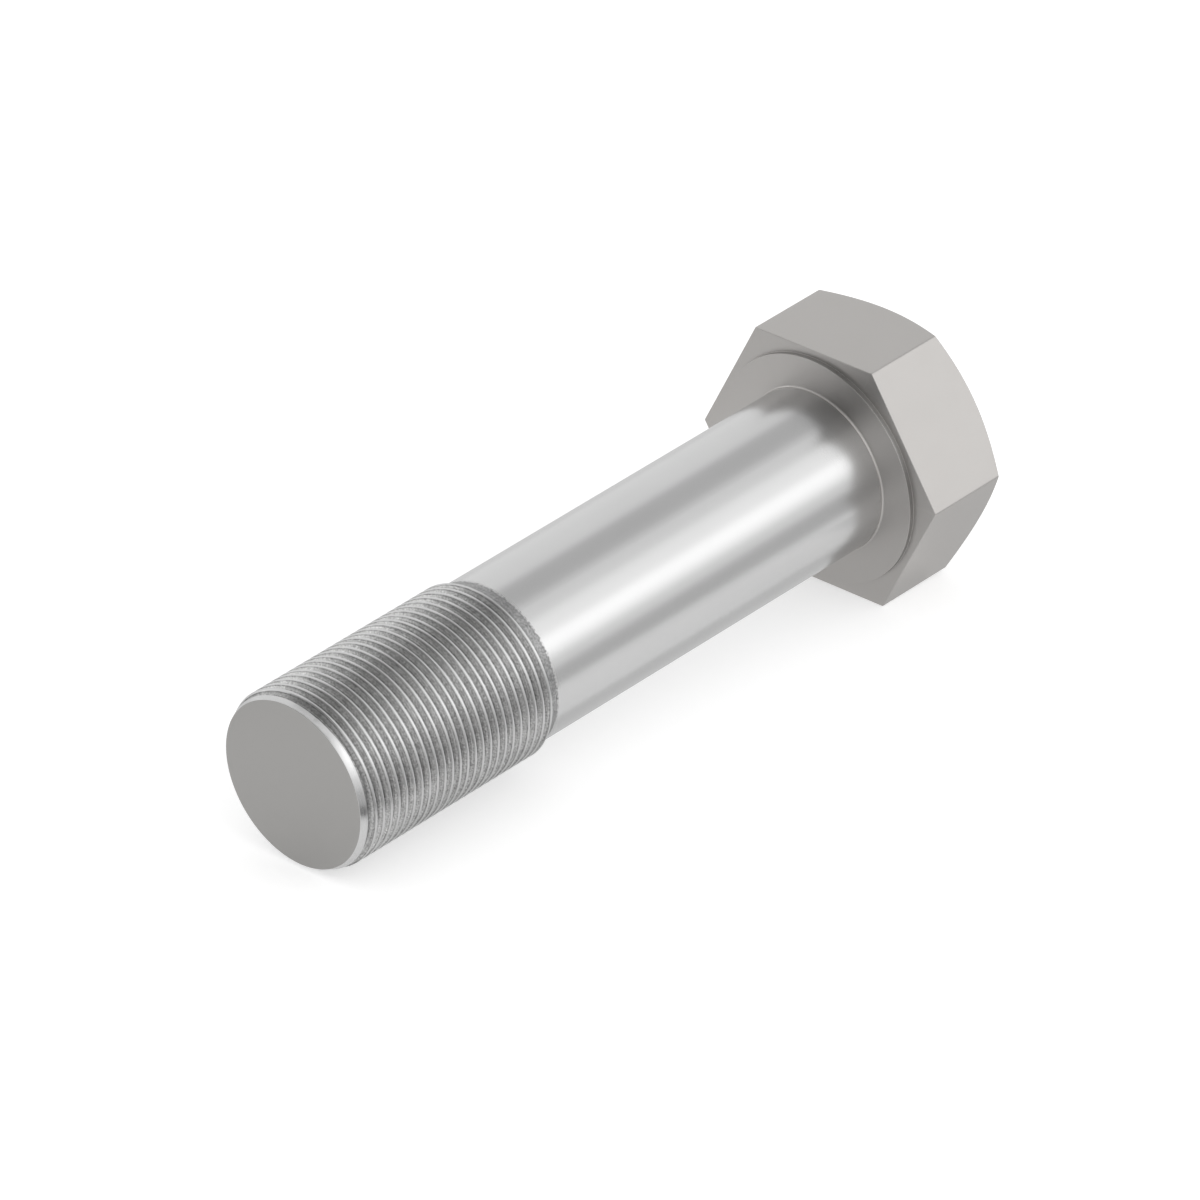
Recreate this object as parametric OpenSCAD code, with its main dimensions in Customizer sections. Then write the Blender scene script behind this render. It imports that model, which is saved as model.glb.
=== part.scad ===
// A hexagon head screw with a fine thread, forged, turned and rolled from one piece
// of steel. It lies as it comes to rest on a table: a flat of the head is down, the
// flat's edge beside the shank and the first full ridge of the thread touch the
// table, and the screw leans a few degrees towards its tip. The origin is on the
// table, under the middle of the screw. +X runs from the tip to the head.

/* [Thread] */
// Outside diameter of the thread
thread_d = 27; // [26:0.5:30]
// Distance from one thread ridge to the next
pitch = 1.5; // [1:0.25:2]
// Length of the thread, from the tip of the screw to the plain shank
thread_l = 39; // [20:1:60]
// Length of the chamfer at the tip
point_l = 1.9; // [0.5:0.1:4]
// Diameter of the flat face at the tip
point_d = 25.3; // [18:0.1:25.8]
// Length over which the last ridge slopes down to the shank
runout_l = 0.9; // [0.5:0.1:3]

/* [Shank] */
// Diameter of the plain shank
shank_d = 25.3; // [20:0.1:25.8]
// Length of the screw under its head
screw_l = 106; // [80:1:160]
// Radius of the fillet where the shank meets the head
fillet_r = 0.5; // [0.3:0.1:2]

/* [Head] */
// Width across the flats of the head
across_flats = 38; // [37:1:46]
// Height of the head, with its washer face
head_h = 16.5; // [12:0.5:22]
// Diameter of the washer face
washer_d = 35.5; // [32:0.5:36]
// How far the washer face stands out from the underside of the hexagon
washer_h = 0.75; // [0.4:0.05:1]
// Diameter of the flat circle on top of the head, inside the chamfer
crown_d = 36; // [30:0.5:36.5]
// Angle of the chamfer on the corners of the head
crown_angle = 30; // [15:1:40]

/* [Hidden] */
$fn = 96;

thread_r = thread_d / 2;
point_r = point_d / 2;
shank_r = shank_d / 2;
washer_r = washer_d / 2;
crown_r = crown_d / 2;

// The thread has the standard metric profile: 60 degrees between its flanks, a
// crest an eighth of the pitch wide and a root a quarter of the pitch wide.
half_angle = 30;
crest_w = pitch / 8;
root_w = pitch / 4;
flank_w = (pitch - crest_w - root_w) / 2;
root_r = thread_r - flank_w / tan(half_angle);
cutter_side = pitch / 2;
cutter_h = cutter_side / tan(half_angle);

// The full ridges begin where the chamfer ends. Whole grooves are centred between
// there and the run-out, and more of them go on into the chamfer.
full_end = thread_l - runout_l;
groove_zone = full_end - point_l - crest_w;
grooves = floor(groove_zone / pitch);
first_groove = point_l + crest_w + (groove_zone - grooves * pitch) / 2;
point_grooves = ceil(first_groove / pitch);

// The hexagon begins behind the washer face. Half of one of its sides spans hex_half,
// seen from the axis.
hex_x = screw_l + washer_h;
hex_h = head_h - washer_h;
hex_half = 180 / 6;

// The screw rests on the first full ridge and on the edge of the lower flat.
lean = atan((across_flats - thread_d) / 2 / (hex_x - point_l));
rest_z = thread_r * cos(lean) - point_l * sin(lean);

// Ends of the leaning screw along X: the tip's upper edge and the crown's lower edge
tip_x = -point_r * sin(lean);
crown_x = (screw_l + head_h) * cos(lean) + crown_r * sin(lean);

// Outline of all that is round about the screw's axis, before the thread is cut, with
// x along the screw and y as the radius. Its core runs on into the hexagon.
module blank_outline() {
    polygon([
        [0, 0],
        [0, point_r],
        [point_l, thread_r],
        [full_end, thread_r],
        [thread_l, shank_r],
        [screw_l, shank_r],
        [screw_l, washer_r],
        [hex_x, washer_r],
        [hex_x, shank_r],
        [hex_x + hex_h / 2, shank_r],
        [hex_x + hex_h / 2, 0]
    ]);
}

// Outline of the fillet between the shank and the washer face
module fillet_outline() {
    translate([screw_l - fillet_r, 0])
        difference() {
            square([fillet_r + washer_h / 2, shank_r + fillet_r]);
            translate([0, shank_r + fillet_r])
                circle(fillet_r);
        }
}

// Outline of the cutter for one groove, whose flanks go on past the crests
module groove_outline() {
    polygon([
        [-cutter_side, thread_r + cutter_h],
        [flank_w, root_r],
        [flank_w + root_w, root_r],
        [2 * flank_w + root_w + cutter_side, thread_r + cutter_h]
    ]);
}

// The turned and threaded part of the screw, which runs along +Z here
module turned_body() {
    rotate_extrude()
        mirror([1, -1])
            difference() {
                union() {
                    blank_outline();
                    fillet_outline();
                }
                for (i = [-point_grooves : grooves - 1])
                    translate([first_groove + i * pitch, 0])
                        groove_outline();
            }
}

// The hexagon, with its corners cut back by a cone round the crown
module hexagon() {
    translate([0, 0, hex_x])
        intersection() {
            rotate([0, 0, hex_half])
                cylinder(h = hex_h, d = across_flats / cos(hex_half), $fn = 6);
            cylinder(h = hex_h, r1 = crown_r + hex_h / tan(crown_angle), r2 = crown_r);
        }
}

module screw() {
    color([0.66, 0.65, 0.64])
        translate([-(tip_x + crown_x) / 2, 0, rest_z])
            rotate([0, 90 - lean, 0])
                union() {
                    turned_body();
                    hexagon();
                }
}

screw();
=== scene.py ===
# %% [markdown]
# # A hexagon head screw with a fine thread
# The real screw is one piece of steel. A bar is forged to get its head, its shank is
# turned and ground, and its thread is rolled between hardened dies. So the model is
# one closed surface too, and only its finish changes from zone to zone. The packed
# solid gives its place and size. It is loaded first, because all that follows has to
# fit it.

import math

import bmesh
import bpy
import numpy as np
from mathutils import Matrix, Vector


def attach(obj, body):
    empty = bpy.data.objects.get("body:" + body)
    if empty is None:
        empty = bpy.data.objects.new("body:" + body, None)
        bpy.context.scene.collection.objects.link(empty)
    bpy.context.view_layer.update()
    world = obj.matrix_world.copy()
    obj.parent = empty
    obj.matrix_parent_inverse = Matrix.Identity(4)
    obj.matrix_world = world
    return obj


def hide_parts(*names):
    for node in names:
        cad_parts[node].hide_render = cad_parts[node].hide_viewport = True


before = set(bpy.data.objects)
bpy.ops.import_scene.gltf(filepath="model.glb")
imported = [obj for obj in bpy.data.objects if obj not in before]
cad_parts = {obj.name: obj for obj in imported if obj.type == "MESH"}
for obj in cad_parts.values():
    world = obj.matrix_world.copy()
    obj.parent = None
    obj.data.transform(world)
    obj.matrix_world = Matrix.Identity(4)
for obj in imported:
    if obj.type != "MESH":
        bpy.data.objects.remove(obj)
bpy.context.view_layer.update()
scene = bpy.context.scene

# %% [markdown]
# ## Sizes
# A screw is made to a drawing in millimetres, so the sizes are written that way, and
# the finished mesh is turned into metres once. Places along the screw are counted from
# its tip, and the hexagon's apothem is half its width across the flats. The thread is
# the metric one, 27 mm across with ridges 1.5 mm apart and flanks that stand 60 degrees
# apart. The photo shows its crests a little wider than the standard's eighth of the
# pitch, so they and the roots have widths of their own here. The depth of the thread
# follows from them.

# %% Sizes in millimetres
MM = 0.001
TURN = 2 * math.pi

thread_r = 27.0 / 2
pitch = 1.5
thread_l = 39.0
point_l = 1.9
point_r = 25.3 / 2
runout_from = 36.95
runout_to = 37.65
shank_r = 25.3 / 2
screw_l = 106.0
fillet_r = 0.3
apothem = 38.0 / 2
head_h = 16.5
washer_r = 35.5 / 2
washer_h = 0.75
crown_r = 36.0 / 2
crown_angle = math.radians(30)

crest_w = 0.28
root_w = 0.24
flank_angle = math.radians(30)
flank_w = (pitch - crest_w - root_w) / 2
root_r = thread_r - flank_w / math.tan(flank_angle)
hex_x = screw_l + washer_h
total_l = screw_l + head_h
print("root of the thread, mm:", round(root_r, 3), "full length, mm:", total_l)

# %% [markdown]
# ## Where the screw lies
# A screw that is laid on a table rests on the edge of one flat of its head and on the
# first full ridge of its thread, so it leans a few degrees. The surface is worked out
# along the screw's own axis, which is easy, and then three directions carry it into
# the frame: along the axis, to the side, and up from the upper flat. The object itself
# stays at the origin, unturned.

# %% Place and lean of the screw
lean = math.atan((apothem - thread_r) / (hex_x - point_l))
tip_x = -point_r * math.sin(lean)
crown_x = total_l * math.cos(lean) + crown_r * math.sin(lean)
tip_centre = np.array([
    -(tip_x + crown_x) / 2,
    0,
    thread_r * math.cos(lean) - point_l * math.sin(lean),
])
along = np.array([math.cos(lean), 0, math.sin(lean)])
side = np.array([0, 1, 0])
up = np.array([-math.sin(lean), 0, math.cos(lean)])
print("lean, degrees:", round(math.degrees(lean), 3), "tip, mm:", tip_centre.round(3))

# %% [markdown]
# ## Rounded outlines
# No real edge is sharp. A tool leaves a radius of a few hundredths of a millimetre and
# a forging die one of a few tenths, and that thin strip catches the light. Every
# outline here is a short list of corners, and one function puts an arc on each of
# them. It works on whole arrays, so one call can round the outlines of all directions
# round the axis.

# %% Round the corners of an outline
def rounded(corners, radii, steps):
    """Rows of points along outlines, with an arc in place of each inner corner.

    The arc touches both sides of its corner, so it begins radius * tan(turn / 2)
    before it. Its points are start + radius * (sin(a) * ahead + (1 - cos(a)) *
    inward), for angles a from 0 to the turn, where ahead is the way in and inward
    is square to it, on the side to which the outline turns.
    """
    legs = np.diff(corners, axis=0)
    legs = legs / np.linalg.norm(legs, axis=-1, keepdims=True)
    ahead, after = legs[:-1], legs[1:]
    cross = ahead[..., 0] * after[..., 1] - ahead[..., 1] * after[..., 0]
    turn = np.arctan2(cross, (ahead * after).sum(axis=-1))
    square = np.stack([-ahead[..., 1], ahead[..., 0]], axis=-1)
    inward = np.sign(turn)[..., None] * square
    radius = np.reshape(radii, (-1, 1, 1))
    start = corners[1:-1] - radius * np.tan(abs(turn) / 2)[..., None] * ahead
    a = (abs(turn)[:, None] * np.linspace(0, 1, steps + 1)[None, :, None])[..., None]
    swing = np.sin(a) * ahead[:, None] + (1 - np.cos(a)) * inward[:, None]
    arcs = start[:, None] + radius[:, None] * swing
    rows = arcs.reshape(-1, *corners.shape[1:])
    return np.concatenate([corners[:1], rows, corners[-1:]])


trial_corner = np.array([[0.0, 0.0], [1.0, 0.0], [1.0, 1.0]])[:, None]
print("a rounded corner:", rounded(trial_corner, [0.2], 2)[:, 0].round(3).tolist())

# %% [markdown]
# ## The hexagon as a distance from the axis
# The head is a hexagon and the rest is round, but they are one piece of steel. So the
# hexagon is written as its distance from the axis in each direction, and the same
# directions then serve the shank and the head, which closes the surface with no join.
# Two more directions on each side of a corner give its small radius a round shape.

# %% Directions round the axis and the hexagon's outline
directions_round = 156
side_turn = TURN / 6
half_side = side_turn / 2
corner_soft = 0.35
corner_c = (apothem - corner_soft) / math.cos(half_side)
corner_touch = math.atan2(corner_soft / 2, corner_c + corner_soft * math.cos(half_side))


def hexagon(angle):
    """Distance from the axis to a hexagon with rounded corners, in each direction.

    Along a side it is the apothem over the cosine of the angle from the side's
    middle. At a corner it is where the ray leaves the corner's circle:
    c * cos(a) + sqrt(radius^2 - (c * sin(a))^2), where a is the angle from the
    corner and c is how far the circle's centre is from the axis.
    """
    a = abs((angle + half_side) % side_turn - half_side)
    flat = apothem / np.cos(half_side - a)
    inside = np.maximum(corner_soft**2 - (corner_c * np.sin(a)) ** 2, 0)
    corner = corner_c * np.cos(a) + np.sqrt(inside)
    return np.where(a < corner_touch, corner, flat)


even = np.linspace(0, TURN, directions_round + 1)
beside = np.array([-1, -0.5, 0.5, 1]) * corner_touch
extra = (np.arange(6)[:, None] * side_turn + beside) % TURN
angle = np.sort(np.concatenate([even, extra.ravel()]))
reach = hexagon(angle)
print("directions:", angle.size, "across corners, mm:", round(2 * reach.max(), 2))

# %% [markdown]
# ## The rolled thread
# A thread die presses one groove into the steel, which winds round it as a right-hand
# helix. The profile of a single ridge is enough to make it: it is repeated along the
# screw, and each point moves on by one pitch in one turn. The steel flows towards the
# tip as it is pressed, so a crest has a narrow bevel on that side and is sharp towards
# the head. The bevel mirrors another part of the room than the crest does, which draws
# a darker or a lighter line beside it.

# %% One ridge of the thread
crest_soft = 0.03
root_soft = 0.10
bevel_h = 0.08
bevel_slope = math.radians(42)
bevel_foot = pitch - crest_w / 2 - bevel_h * math.tan(flank_angle)
ridge_steps = 2

ridge_corners = np.array([
    [0, thread_r],
    [crest_w / 2, thread_r],
    [crest_w / 2 + flank_w, root_r],
    [pitch - crest_w / 2 - flank_w, root_r],
    [bevel_foot, thread_r - bevel_h],
    [bevel_foot + bevel_h / math.tan(bevel_slope), thread_r],
    [pitch, thread_r],
])[:, None]
ridge_radii = [crest_soft, root_soft, root_soft, root_soft, crest_soft]
ridge = rounded(ridge_corners, ridge_radii, ridge_steps)[1:-1, 0]
print("points on one ridge:", len(ridge))

# %% [markdown]
# ## Both ends of the thread
# The blank is turned before it is rolled. Its tip has a cone, whose first strip stays
# clean and leads the screw into its nut. Near the head it steps down to the shank in a
# short slope. A ridge can't stand higher than the blank, so the smaller of the two
# radii counts at both ends. The dies touch the shank a little further on and leave it
# dull. The helix starts so that the crests near the tip lie where the photo has them.
# It climbs, but the cone before it and the shank behind it are level, so a level ring
# closes it at each end, and rows that would reach past a ring lie flat on it.

# %% The blank's outline near the tip and the end of the thread
tip_soft = 0.05
tip_steps = 4
clean_to = 0.75
thread_from = 1.0
shank_touched = 0.2
thread_to = thread_l + shank_touched


def tip_cone(x):
    """Radius of the tip's cone, which widens evenly until it is as wide as the thread."""
    return point_r + (thread_r - point_r) * x / point_l


def blank_radius(x):
    """Radius of the turned blank: a cone at the tip, a cylinder, a slope at the end."""
    slope = np.interp(x, [runout_from, runout_to], [thread_r, shank_r])
    return np.minimum(tip_cone(x), slope)


tip_corners = np.array([[0, 0], [0, point_r], [clean_to, blank_radius(clean_to)]])
tip_rows = rounded(tip_corners[:, None], [tip_soft], tip_steps)
print("rows on the tip:", len(tip_rows), "thread from and to, mm:", thread_from, thread_to)

# %% Wind the ridges round the screw
turns_before = 2
crest_shift = pitch / 3
first_crest = point_l + crest_w / 2 - crest_shift

turns = np.arange(-turns_before, math.ceil(thread_l / pitch) + 1)
start_x = (first_crest + turns[:, None] * pitch + ridge[:, 0]).ravel()
start_x = start_x[(start_x > thread_from - pitch) & (start_x < thread_to)]
start_x = np.concatenate([[thread_from - pitch], start_x, [thread_to]])[:, None]
thread_x = np.clip(start_x + pitch * angle / TURN, thread_from, thread_to)
phase = (thread_x - first_crest - pitch * angle / TURN) % pitch
ridge_r = np.interp(phase, ridge[:, 0], ridge[:, 1])
thread_rows = np.stack([thread_x, np.minimum(ridge_r, blank_radius(thread_x))], axis=-1)
print("rows in the thread:", len(thread_rows), "turns:", round(thread_l / pitch, 1))

# %% [markdown]
# ## Shank, washer face and head
# The shank of this screw is as thin as the root of its thread, which lets it stretch
# evenly when it is tightened. A fillet leads it into the head, because a sharp corner
# there would crack. The raised washer face keeps the hexagon's corners off the joint.
# Above it the hexagon stands, and a cone takes its corners off, which leaves a curved
# edge on each flat. All of it is one outline, whose outer corners follow the hexagon.

# %% Outline from the end of the thread to the crown
edge_soft = 0.16
washer_soft = 0.04
foot_soft = 0.04
head_steps = 6


def corner_row(x, r):
    """One corner of the outline, in every direction: its place along and its radius."""
    return np.stack(np.broadcast_arrays(x, r, angle)[:2], axis=-1)


crown_edge = total_l - (reach - crown_r) * math.tan(crown_angle)
head_corners = np.stack([
    corner_row(thread_to, shank_r),
    corner_row(screw_l, shank_r),
    corner_row(screw_l, washer_r),
    corner_row(hex_x, washer_r),
    corner_row(hex_x, reach),
    corner_row(crown_edge, reach),
    corner_row(total_l, crown_r),
    corner_row(total_l, 0.0),
])
head_radii = [fillet_r, washer_soft, foot_soft, edge_soft, edge_soft, edge_soft]
head_rows = rounded(head_corners, head_radii, head_steps)
print("rows in the head:", len(head_rows))

# %% [markdown]
# ## One closed surface
# All rows are now points along the screw and away from its axis, in the same
# directions. Turned into space they make one grid. Its first and last column lie on
# each other, its poles are points, and the thread's flat rows lie on its end rings, so
# merging what coincides closes it. Its volume has to come out positive, which shows
# that the faces point outwards, and it should be close to the solid's.

# %% Make the grid of points
longest_row_gap = 5.0


def with_rows_between(rows, longest):
    """The rows, with others set evenly between two that lie further apart than longest.

    A new row is one row plus its share of the way to the next.
    """
    gaps = np.linalg.norm(np.diff(rows, axis=0), axis=-1).max(axis=1)
    counts = np.maximum(1, np.ceil(gaps / longest)).astype(int)
    kept = np.concatenate([[0], np.cumsum(counts)])
    at = np.arange(kept[-1] + 1)
    below = np.minimum(np.searchsorted(kept, at, side="right") - 1, len(counts) - 1)
    share = ((at - kept[below]) / counts[below])[:, None, None]
    return rows[below] + share * (rows[below + 1] - rows[below])


tip_all_round = np.broadcast_to(tip_rows, (len(tip_rows), angle.size, 2))
tip_part = with_rows_between(tip_all_round, longest_row_gap)
head_part = with_rows_between(head_rows, longest_row_gap)
rows = np.concatenate([tip_part, thread_rows, head_part])
away = np.cos(angle)[:, None] * side + np.sin(angle)[:, None] * up
points = tip_centre + rows[..., :1] * along + rows[..., 1:] * away
print("grid:", rows.shape[:2])

# %% [markdown]
# ## Zones of finish
# Each zone was made by another tool, so it has a finish of its own. The end at the tip
# was faced on a lathe. The narrow wall of the washer face takes the same darker faced
# finish as painted shade, for the step under the hexagon. The shank and the clean cone
# at the tip were ground. The hexagon, its crown, the bearing face and the fillet keep
# the satin of the forging, and the rest is the rolled thread. A face's place along the
# screw and its radius tell its zone. The rolls also burnish the crests of the thread,
# and the flanks stay dull. How burnished a point is goes into the mesh as an attribute,
# which the thread's material reads.

# %% Zones and burnish of the surface
FACED_AND_SHADED, THREAD, GROUND, FORGED = range(4)
slack = 0.001
wall_slack = 0.01


def zone(x, r):
    """Number of the finish at a place along the screw and a distance from its axis."""
    # painted shade: the washer face's narrow wall takes the darker faced finish
    wall = (x > screw_l + washer_soft) & (x < hex_x - foot_soft) & (r < washer_r + wall_slack)
    body = np.where(wall, FACED_AND_SHADED, FORGED)
    body = np.where((r < shank_r + slack) & (x < screw_l), GROUND, body)
    body = np.where(x < thread_to, THREAD, body)
    body = np.where(x < clean_to, GROUND, body)
    return np.where(x <= slack, FACED_AND_SHADED, body)


middle = (rows[:-1, :-1] + rows[1:, :-1] + rows[:-1, 1:] + rows[1:, 1:]) / 4
zones = zone(middle[..., 0], middle[..., 1])
turned_r = np.minimum(tip_cone(rows[..., 0]), thread_r)
burnish = 1 - np.clip((turned_r - rows[..., 1]) / (thread_r - root_r), 0, 1)
print("faces in each zone:", np.bincount(zones.ravel()).tolist())

# %% Build the mesh
weld = 0.0002


def closed_mesh(name, grid, zones, burnish):
    """A mesh in metres of four-sided faces on a grid of points in millimetres.

    A face goes from a point to the next direction, then along the screw and back,
    so that it points outwards. Points that coincide are merged.
    """
    count = grid.shape[0] * grid.shape[1]
    index = np.arange(count).reshape(grid.shape[:2])
    quads = np.stack(
        [index[:-1, :-1], index[:-1, 1:], index[1:, 1:], index[1:, :-1]], axis=-1
    ).reshape(-1, 4)
    mesh = bpy.data.meshes.new(name)
    mesh.vertices.add(count)
    mesh.vertices.foreach_set("co", (grid * MM).ravel())
    mesh.loops.add(quads.size)
    mesh.loops.foreach_set("vertex_index", quads.ravel())
    mesh.polygons.add(len(quads))
    mesh.polygons.foreach_set("loop_start", np.arange(0, quads.size, 4))
    mesh.polygons.foreach_set("material_index", zones.ravel())
    mesh.update(calc_edges=True)
    marked = mesh.attributes.new("burnish", "FLOAT", "POINT")
    marked.data.foreach_set("value", burnish.ravel())
    shape = bmesh.new()
    shape.from_mesh(mesh)
    bmesh.ops.remove_doubles(shape, verts=shape.verts, dist=weld * MM)
    open_edges = sum(not e.is_manifold for e in shape.edges)
    volume = shape.calc_volume(signed=True)
    shape.to_mesh(mesh)
    shape.free()
    print(name, "open edges:", open_edges, "volume, mm3:", round(volume / MM**3, 1))
    return mesh


screw_mesh = closed_mesh("screw_surface", points, zones, burnish)
screw = bpy.data.objects.new("screw_surface", screw_mesh)
scene.collection.objects.link(screw)
print("triangles:", len(screw_mesh.loops) - 2 * len(screw_mesh.polygons))

# %% [markdown]
# ## Smooth shading
# The surface is shaded smooth, and only edges that turn by more than half a right
# angle stay sharp, such as where the tip's cone cuts through a ridge. The small radii
# beside large flat faces would tilt their shading, so Weighted Normal lets the large
# faces decide.

# %% Shade the surface
sharp_turn = math.radians(45)
screw_mesh.shade_smooth()
screw_mesh.set_sharp_from_angle(angle=sharp_turn)
weighted = screw.modifiers.new("weighted_normal", "WEIGHTED_NORMAL")
weighted.keep_sharp = True
print("sharp edges:", sum(e.use_edge_sharp for e in screw_mesh.edges))

# %% [markdown]
# ## Shared effects of the finishes
# Two effects come back in every finish. Mottle is the faint unevenness of steel, from
# a fine grain up to soft clouds, and turning marks are the rings that a tool leaves at
# one distance after another. Each is a node group with a size of its own in each
# material. A small function adds a node, sets its values and links its inputs, so that
# a material reads like a recipe. Two more build on it: one does a step of arithmetic,
# and one turns a span of values into another.

# %% A short way to add nodes
VALUE = "NodeSocketFloat"
VECTOR = "NodeSocketVector"


def add(tree, kind, settings=None, **inputs):
    """A node with its settings, and its inputs set to values or linked to sockets.

    An input goes by its label, with _ for a space, or by its number after a _.
    """
    made = tree.nodes.new(kind)
    for key, value in (settings or {}).items():
        setattr(made, key, value)
    for key, value in inputs.items():
        socket = made.inputs[int(key[1:]) if key[0] == "_" else key.replace("_", " ")]
        if isinstance(value, bpy.types.NodeSocket):
            tree.links.new(value, socket)
        else:
            socket.default_value = value
    return made


def calculate(tree, operation, *values):
    """The outcome of one operation on numbers or sockets."""
    inputs = {f"_{i}": value for i, value in enumerate(values)}
    return add(tree, "ShaderNodeMath", {"operation": operation}, **inputs).outputs[0]


def ramp(tree, value, span, onto, shape="LINEAR"):
    """A value that runs over the span onto while the given one runs over its own span."""
    ends = {"From_Min": span[0], "From_Max": span[1], "To_Min": onto[0], "To_Max": onto[1]}
    settings = {"interpolation_type": shape}
    return add(tree, "ShaderNodeMapRange", settings, Value=value, **ends).outputs[0]


def new_group(name, takes, gives):
    """An empty shader group with named inputs and outputs, and its two end nodes."""
    tree = bpy.data.node_groups.new(name, "ShaderNodeTree")
    for label, kind in takes:
        tree.interface.new_socket(label, in_out="INPUT", socket_type=kind)
    for label, kind in gives:
        tree.interface.new_socket(label, in_out="OUTPUT", socket_type=kind)
    return tree, tree.nodes.new("NodeGroupInput"), tree.nodes.new("NodeGroupOutput")


# %% Mottle
def mottle_group():
    """Noise from 0 to 1 at one size, in metres, in all three directions."""
    tree, takes, gives = new_group(
        "mottle", [("Place", VECTOR), ("Size", VALUE), ("Detail", VALUE)], [("Amount", VALUE)]
    )
    noise = add(
        tree,
        "ShaderNodeTexNoise",
        {"noise_dimensions": "3D"},
        Vector=takes.outputs["Place"],
        Scale=calculate(tree, "DIVIDE", 1.0, takes.outputs["Size"]),
        Detail=takes.outputs["Detail"],
        Roughness=0.6,
    )
    tree.links.new(noise.outputs[0], gives.inputs["Amount"])
    return tree


mottle = mottle_group()
print("group:", mottle.name, [item.name for item in mottle.interface.items_tree])

# %% Turning marks
def turning_marks_group():
    """Rings of uneven depth, from 0 to 1, that change with one distance alone."""
    tree, takes, gives = new_group(
        "turning_marks", [("Distance", VALUE), ("Spacing", VALUE)], [("Depth", VALUE)]
    )
    distance, spacing = takes.outputs["Distance"], takes.outputs["Spacing"]
    noise = add(
        tree,
        "ShaderNodeTexNoise",
        {"noise_dimensions": "1D"},
        W=calculate(tree, "DIVIDE", distance, spacing),
        Scale=1.0,
        Detail=2.0,
        Roughness=0.7,
    )
    tree.links.new(noise.outputs[0], gives.inputs["Depth"])
    return tree


turning_marks = turning_marks_group()
print("group:", turning_marks.name, [i.name for i in turning_marks.interface.items_tree])

# %% [markdown]
# ## Places on the screw
# Turning marks follow the screw and not the frame, in which it leans. A Mapping node of
# kind Texture undoes the lean: it starts from Object coordinates, moves its origin to
# the tip and turns its first axis along the screw. The distance along is then the
# first coordinate, and the distance from the axis is the length of the other two.

# %% Coordinates along the screw and away from its axis
def place_on_screw(tree):
    """Socket for the place on the screw, from the tip and with its first axis along."""
    seen = add(tree, "ShaderNodeTexCoord").outputs["Object"]
    origin, turn = tuple(tip_centre * MM), (0, -lean, 0)
    kind = {"vector_type": "TEXTURE"}
    turned = add(tree, "ShaderNodeMapping", kind, Vector=seen, Location=origin, Rotation=turn)
    return turned.outputs[0]


def distance_along(tree, place):
    """Socket for the distance from the tip, along the screw."""
    return add(tree, "ShaderNodeSeparateXYZ", _0=place).outputs["X"]


def distance_from_axis(tree, place):
    """Socket for the distance from the axis: the length of the place without its X."""
    parts = add(tree, "ShaderNodeSeparateXYZ", _0=place).outputs
    across = add(tree, "ShaderNodeCombineXYZ", Y=parts["Y"], Z=parts["Z"]).outputs[0]
    length = add(tree, "ShaderNodeVectorMath", {"operation": "LENGTH"}, _0=across)
    return length.outputs["Value"]


# %% [markdown]
# ## How a finish is put together
# Each finish is one metal shader. Its colour, its roughness and its bumps change over
# the surface, and all that is the same everywhere stands on the shader itself. Sizes in
# the materials are written in millimetres too.

# %% Parts of a finish
def steel(name):
    """A new metal material: its node tree and its shader."""
    material = bpy.data.materials.new(name)
    material.use_nodes = True
    tree = material.node_tree
    shader = tree.nodes["Principled BSDF"]
    shader.inputs["Metallic"].default_value = 1.0
    return material, tree, shader


def mottled(tree, place, size, detail):
    """Mottle of one size in millimetres."""
    inputs = {"Place": place, "Size": size * MM, "Detail": detail}
    return add(tree, "ShaderNodeGroup", {"node_tree": mottle}, **inputs).outputs[0]


def marked_by_tool(tree, distance, spacing):
    """Turning marks at one spacing in millimetres."""
    inputs = {"Distance": distance, "Spacing": spacing * MM}
    return add(tree, "ShaderNodeGroup", {"node_tree": turning_marks}, **inputs).outputs[0]


def spread(tree, noise, low, high):
    """Noise as a value from low to high. Noise mostly stays between 0.25 and 0.75."""
    return ramp(tree, noise, (0.25, 0.75), (low, high))


def tone(tree, amount, dark, light):
    """A colour between dark and light, each a colour or a socket."""
    ends = [c if isinstance(c, bpy.types.NodeSocket) else (*c, 1) for c in (dark, light)]
    mix = add(
        tree, "ShaderNodeMix", {"data_type": "RGBA"}, Factor=amount, _6=ends[0], _7=ends[1]
    )
    return mix.outputs[2]


def finish(tree, shader, colour, roughness, height, depth):
    """Give a shader its colour, its roughness and bumps of a depth in millimetres."""
    bump = add(tree, "ShaderNodeBump", Height=height, Distance=depth * MM, Strength=1.0)
    tree.links.new(colour, shader.inputs["Base Color"])
    tree.links.new(roughness, shader.inputs["Roughness"])
    tree.links.new(bump.outputs[0], shader.inputs["Normal"])


# %% [markdown]
# ## Finish of each zone
# The ground shank is the brightest: it is smooth enough to show soft bands of light,
# and its grinding lines are hardly seen. The forged hexagon was tumbled to an even
# satin, darker because its fine grain traps light. The faced end is darker still, with
# faint rings round the axis. The thread is the dullest. Its flanks have a fine grain,
# lines drawn along the grooves and soft patches. Its roots and a line beside each crest
# are darker, as painted shade, and its first ridges at the tip are darker too. Its
# crests were burnished by the rolls and shine. The dull steel ends in a ragged border
# on the shank, where the dies let go.

# %% Ground shank
def ground_steel():
    """Bright steel with soft reflections and faint grinding lines round it."""
    material, tree, shader = steel("ground_steel")
    place = place_on_screw(tree)
    lines = marked_by_tool(tree, distance_along(tree, place), spacing=0.25)
    clouds = mottled(tree, place, size=12.0, detail=2.0)
    colour = tone(tree, clouds, (0.575, 0.575, 0.575), (0.600, 0.600, 0.600))
    roughness = spread(tree, lines, 0.22, 0.27)
    finish(tree, shader, colour, roughness, height=lines, depth=0.0004)
    return material


ground = ground_steel()
print("nodes in the ground steel:", len(ground.node_tree.nodes))


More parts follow.
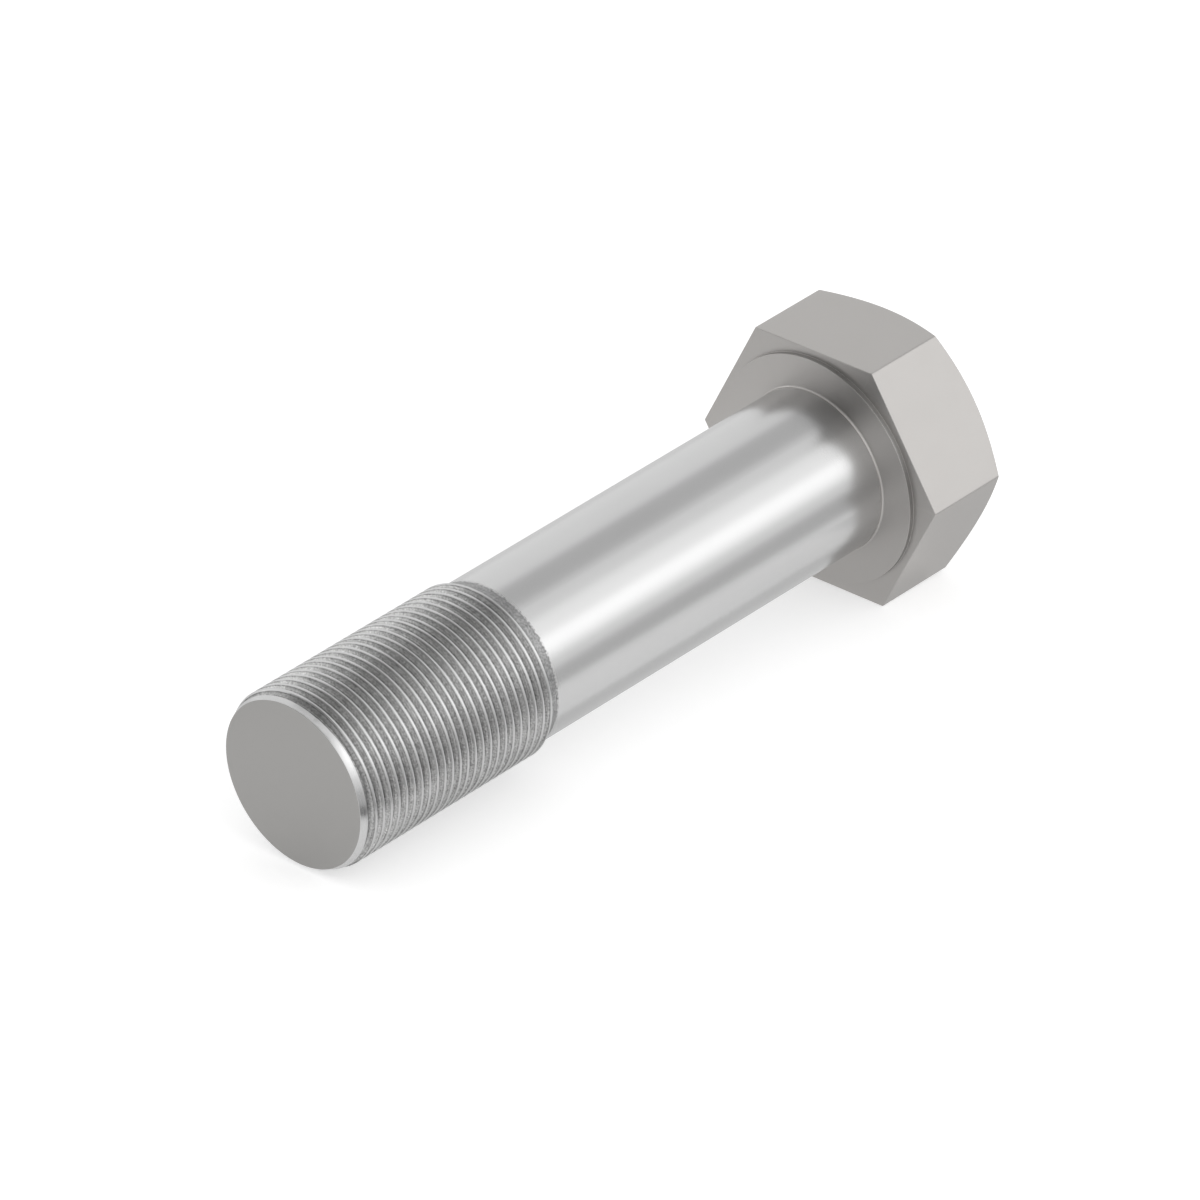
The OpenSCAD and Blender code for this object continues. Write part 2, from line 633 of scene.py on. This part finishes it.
# %% Forged hexagon
def forged_steel():
    """Satin steel with a fine even grain."""
    material, tree, shader = steel("forged_steel")
    place = place_on_screw(tree)
    grain = mottled(tree, place, size=0.5, detail=3.0)
    clouds = mottled(tree, place, size=7.0, detail=3.0)
    colour = tone(tree, clouds, (0.460, 0.446, 0.433), (0.488, 0.473, 0.459))
    roughness = spread(tree, clouds, 0.38, 0.44)
    finish(tree, shader, colour, roughness, height=grain, depth=0.006)
    return material


forged = forged_steel()
print("nodes in the forged steel:", len(forged.node_tree.nodes))


# %% Faced ends
def faced_and_shaded_steel():
    """Satin steel with faint rings round the axis, where a lathe faced it. On the
    washer face's narrow wall, its darker colour is painted shade.
    """
    material, tree, shader = steel("faced_and_shaded_steel")
    place = place_on_screw(tree)
    rings = marked_by_tool(tree, distance_from_axis(tree, place), spacing=0.35)
    clouds = mottled(tree, place, size=7.0, detail=3.0)
    colour = tone(tree, clouds, (0.345, 0.339, 0.331), (0.365, 0.359, 0.350))
    roughness = spread(tree, clouds, 0.38, 0.42)
    finish(tree, shader, colour, roughness, height=rings, depth=0.001)
    return material


faced = faced_and_shaded_steel()
print("nodes in the faced steel:", len(faced.node_tree.nodes))


# %% Rolled thread: where it shines
crest_ragged = 0.08
border_ragged = 1.3
border_from = thread_l + 0.56
border_to = thread_l + 0.62


def shining_parts(tree, pressed, patches, fine, distance):
    """1 on the burnished crests and past the dull steel's border, 0 on dull steel.

    Patches added to how burnished a point is make the crests' edges uneven, and fine
    grain added to the distance along makes the border ragged.
    """
    uneven = calculate(tree, "MULTIPLY_ADD", patches, crest_ragged, pressed)
    crest = ramp(tree, uneven, (0.92, 0.95), (0.0, 1.0), "SMOOTHSTEP")
    border = calculate(tree, "MULTIPLY_ADD", fine, border_ragged * MM, distance)
    past = ramp(tree, border, (border_from * MM, border_to * MM), (0.0, 1.0))
    return calculate(tree, "MAXIMUM", crest, past)


print("the dull steel's border begins at, mm:", round(border_from - border_ragged, 2))


# %% Rolled thread: its dull steel
# the first ridges of the thread are darker towards the tip
tip_darker_from = 1.0
tip_darker_to = 3.0


def dull_parts(tree, pressed, patches, grain, distance):
    """Colour of the dull steel: a tone from root to flank, times four shades. The
    darker root is painted shade.

    They are the specks of the grain, the darker first ridges at the tip, a painted
    shade beside each crest, and the soft patches.
    """
    # painted shade: the root of each groove is darker than the flank
    flank = ramp(tree, pressed, (0.04, 0.25), (0.0, 1.0), "SMOOTHSTEP")
    own = tone(tree, flank, (0.34, 0.34, 0.34), (0.54, 0.538, 0.535))
    shade = ramp(tree, grain, (0.3, 0.7), (0.42, 1.42))
    for other in [
        # darker towards the tip
        ramp(tree, distance, (tip_darker_from * MM, tip_darker_to * MM), (0.62, 1.0)),
        # painted shade: a dark line on the flank just beside each crest
        ramp(tree, pressed, (0.66, 0.82), (1.0, 0.68), "SMOOTHSTEP"),
        spread(tree, patches, 0.85, 1.12),
    ]:
        shade = calculate(tree, "MULTIPLY", shade, other)
    scaled = add(tree, "ShaderNodeVectorMath", {"operation": "SCALE"}, _0=own, Scale=shade)
    return scaled.outputs[0]


# %% Rolled thread
drawn_share = 0.3


def rolled_steel():
    """Dull grainy flanks, and crests that the rolls burnished bright."""
    material, tree, shader = steel("rolled_steel")
    place = place_on_screw(tree)
    distance = distance_along(tree, place)
    pressed = add(tree, "ShaderNodeAttribute", {"attribute_name": "burnish"}).outputs["Fac"]
    patches = mottled(tree, place, size=1.1, detail=2.0)
    fine = mottled(tree, place, size=0.26, detail=2.0)
    drawn = marked_by_tool(tree, distance, spacing=0.14)
    mix = {"data_type": "FLOAT"}
    grain = add(tree, "ShaderNodeMix", mix, _0=drawn_share, _2=fine, _3=drawn).outputs[0]
    shining = shining_parts(tree, pressed, patches, fine, distance)
    dull = dull_parts(tree, pressed, patches, grain, distance)
    colour = tone(tree, shining, dull, (0.58, 0.58, 0.58))
    roughness = ramp(tree, shining, (0.0, 1.0), (0.36, 0.29))
    height = calculate(tree, "MULTIPLY", grain, ramp(tree, shining, (0.0, 1.0), (1.0, 0.15)))
    finish(tree, shader, colour, roughness, height, depth=0.05)
    return material


rolled = rolled_steel()
print("nodes in the rolled steel:", len(rolled.node_tree.nodes))


# %% Give the zones their finishes
for material in [faced, rolled, ground, forged]:
    screw_mesh.materials.append(material)
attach(screw, "root")
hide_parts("screw")
print("finishes:", [m.name for m in screw_mesh.materials])

# %% [markdown]
# ## Camera
# A long lens from far away shows the screw almost without perspective, as a catalogue
# picture does. The camera is given the way a photographer would say it: where it
# stands round the object, how high, how far, and how much it is rolled.

# %% Place the camera
camera_azimuth = math.radians(-46.57)
camera_elevation = math.radians(28.817)
camera_roll = math.radians(-1.187)
camera_distance = 1.41898
camera_lens = 307.45
camera_aim = Vector((-1.054, -0.735, 17.06)) * MM


def direction(azimuth, elevation):
    """Unit vector towards a place round the screw: azimuth 0 is its front side, a
    quarter turn its head. It is (sin(azimuth) * cos(elevation), -cos(azimuth) *
    cos(elevation), sin(elevation)).
    """
    return Vector((
        math.sin(azimuth) * math.cos(elevation),
        -math.cos(azimuth) * math.cos(elevation),
        math.sin(elevation),
    ))


back = direction(camera_azimuth, camera_elevation)
level = Vector((0, 0, 1)).cross(back).normalized()
upright = back.cross(level)
right = level * math.cos(camera_roll) + upright * math.sin(camera_roll)
top = back.cross(right)
camera = bpy.data.objects.new("camera", bpy.data.cameras.new("camera"))
camera.data.lens = camera_lens
camera.data.sensor_width = 36.0
camera.data.clip_end = 50.0
camera.matrix_world = Matrix.Translation(camera_aim + back * camera_distance) @ Matrix(
    (right, top, back)
).transposed().to_4x4()
scene.collection.objects.link(camera)
scene.camera = camera
print("camera, m:", [round(v, 4) for v in camera.matrix_world.translation])

# %% [markdown]
# ## Floor and white surroundings
# Polished steel has hardly a look of its own: it shows what stands round it. So the
# surroundings are plain white for the camera and for reflections, and softer for
# diffuse light. The floor is a pale sheet that keeps the screw's shadow. It glows a
# little for the camera and for reflections only, so it looks white without lighting
# the screw more.

# %% White surroundings
WHITE = (1, 1, 1, 1)
room_strength = 0.85


def bare_tree(owner):
    """The node tree of a material or a world, without any nodes."""
    owner.use_nodes = True
    owner.node_tree.nodes.clear()
    return owner.node_tree


def seen_directly(tree):
    """1 for camera, mirror and glass rays, and 0 for the diffuse light."""
    rays = add(tree, "ShaderNodeLightPath").outputs
    first = calculate(tree, "MAXIMUM", rays["Is Camera Ray"], rays["Is Glossy Ray"])
    return calculate(tree, "MAXIMUM", first, rays["Is Transmission Ray"])


scene.world = bpy.data.worlds.new("white_studio")
sky = bare_tree(scene.world)
room = add(sky, "ShaderNodeBackground", Color=WHITE, Strength=room_strength).outputs[0]
white = add(sky, "ShaderNodeBackground", Color=WHITE, Strength=1.0).outputs[0]
mixed = add(sky, "ShaderNodeMixShader", _0=seen_directly(sky), _1=room, _2=white)
add(sky, "ShaderNodeOutputWorld", Surface=mixed.outputs[0])
print("room light:", room_strength, "nodes:", len(sky.nodes))

# %% Floor
floor_half = 3.0
floor_tone = 0.7
floor_glow = 0.4
more_for_camera = 0.25


def flat_sheet(name, corners, material):
    """A flat stage piece with four corners, in metres."""
    mesh = bpy.data.meshes.new(name)
    mesh.from_pydata(corners, [], [(0, 1, 2, 3)])
    mesh.materials.append(material)
    sheet = bpy.data.objects.new(name, mesh)
    scene.collection.objects.link(sheet)
    return sheet


def grey(shade):
    """A neutral colour."""
    return (shade, shade, shade, 1)


def floor_material():
    """Pale matt sheet, with a glow that only the camera and reflections see."""
    material = bpy.data.materials.new("pale_floor")
    tree = bare_tree(material)
    matt = add(tree, "ShaderNodeBsdfDiffuse", Color=grey(floor_tone)).outputs[0]
    to_camera = add(tree, "ShaderNodeLightPath").outputs["Is Camera Ray"]
    seen = seen_directly(tree)
    strength = calculate(tree, "MULTIPLY_ADD", to_camera, more_for_camera, seen)
    glow = add(tree, "ShaderNodeEmission", Color=grey(floor_glow), Strength=strength)
    both = add(tree, "ShaderNodeAddShader", _0=matt, _1=glow.outputs[0])
    add(tree, "ShaderNodeOutputMaterial", Surface=both.outputs[0])
    return material


floor_corners = [
    (x * floor_half, y * floor_half, 0) for x, y in ((-1, -1), (1, -1), (1, 1), (-1, 1))
]
flat_sheet("floor", floor_corners, floor_material())
print("floor, m across:", 2 * floor_half)

# %% [markdown]
# ## Studio light
# Two long strips hang along the screw in front of it, one above the other, and draw
# bright lines along the shank. Three weak softboxes, behind the screw, to its left and
# high in front of it, lift the sides that face them. In a white room the lamps alone
# would draw only weak bands, so glowing grey cards, which are no lamps, paint dark
# reflections where a photographer's cards would stand. They hang over the screw, lie in
# front of it, under it and behind it, and one stands to the left. Those under the screw
# paint its shadow into the reflections. A small dark one lies before the tip, for the
# bevels of the thread. Only reflections see them, as painted soft dark bands along the
# shank and as the painted shades of the flats.

# %% Softboxes
def softbox(name, azimuth, elevation, distance, size, radiance):
    """A rectangular lamp that faces the screw. Its radiance is its brightness as seen."""
    away = direction(math.radians(azimuth), math.radians(elevation))
    lamp = bpy.data.lights.new(name, "AREA")
    lamp.shape = "RECTANGLE"
    lamp.size, lamp.size_y = size
    lamp.energy = radiance * math.pi * size[0] * size[1]
    holder = bpy.data.objects.new(name, lamp)
    holder.location = camera_aim + away * distance
    holder.rotation_mode = "QUATERNION"
    holder.rotation_quaternion = away.to_track_quat("Z", "Y")
    scene.collection.objects.link(holder)
    return holder


# A strip: name, elevation in degrees, height in metres, radiance
strip_from, strip_to, strip_away = -0.45, 1.25, 1.0
for name, elevation, height, radiance in [
    ("strip_right", 25.0, 0.46, 0.45),
    ("strip_above_right", 41.0, 0.75, 0.32),
]:
    size = (strip_to - strip_from, height)
    strip = softbox(name, 0.0, elevation, strip_away, size, radiance)
    strip.location.x += (strip_from + strip_to) / 2

# A softbox: name, azimuth and elevation in degrees, distance and size in metres, radiance
for facts in [
    ("softbox_behind", 207.0, 9.0, 1.2, (0.6, 0.36), 0.9),
    ("softbox_left", -75.0, 10.0, 1.2, (0.5, 0.36), 0.15),
    ("softbox_front", -16.0, 39.0, 1.0, (0.35, 0.32), 0.5),
]:
    softbox(*facts)

# %% Grey cards
def glowing_card_material(shade):
    """A grey glow, which is no lamp, that paints a reflection."""
    material = bpy.data.materials.new("painted_reflection_card")
    tree = bare_tree(material)
    glow = add(tree, "ShaderNodeEmission", Color=grey(shade), Strength=1.0)
    add(tree, "ShaderNodeOutputMaterial", Surface=glow.outputs[0])
    return material


def painted_reflection_card(name, corners, shade):
    """A glowing card that only reflections see: a painted reflection."""
    card = flat_sheet(name, corners, glowing_card_material(shade))
    card.visible_camera = False
    card.visible_diffuse = False
    card.visible_shadow = False
    card.visible_transmission = False


# A level card: name, left, right, near, far and height in metres, shade
level_cards = [
    ("card_above", -0.2, 1.5, -0.057, 0.375, 0.67, 0.64),
    ("card_above_left", -1.5, -0.36, -0.38, 0.40, 0.67, 0.05),
    ("card_in_front", -1.5, 1.5, -0.43, -0.045, 0.001, 0.62),
    ("card_before_tip", -0.09, -0.035, -0.045, -0.030, 0.0008, 0.15),
    # painted shadow: the three cards under the screw darken its shadow on the floor in the
    # reflections
    ("painted_shadow_under", -0.055, 0.045, -0.0148, 0.02, 0.0002, 0.70),
    ("painted_shadow_under_head", 0.045, 0.056, -0.0148, 0.01, 0.0002, 0.72),
    ("painted_shadow_below_head", 0.056, 0.10, -0.035, 0.01, 0.0002, 0.78),
    ("card_behind", -1.5, 1.5, 0.043, 1.5, 0.001, 0.80),
]
for name, left, right, near, far, height, shade in level_cards:
    outline = [(left, near), (right, near), (right, far), (left, far)]
    painted_reflection_card(name, [(x, y, height) for x, y in outline], shade)

# The card that stands to the left
left_card_x = -1.5
outline = [(0.25, 0.002), (1.8, 0.002), (1.8, 0.9), (0.25, 0.9)]
painted_reflection_card("card_left", [(left_card_x, y, z) for y, z in outline], 0.15)
print("cards:", len(level_cards) + 1)

# %% [markdown]
# ## Colours
# Standard view transform shows colours as they were written.

# %% View transform
scene.view_settings.view_transform = "Standard"
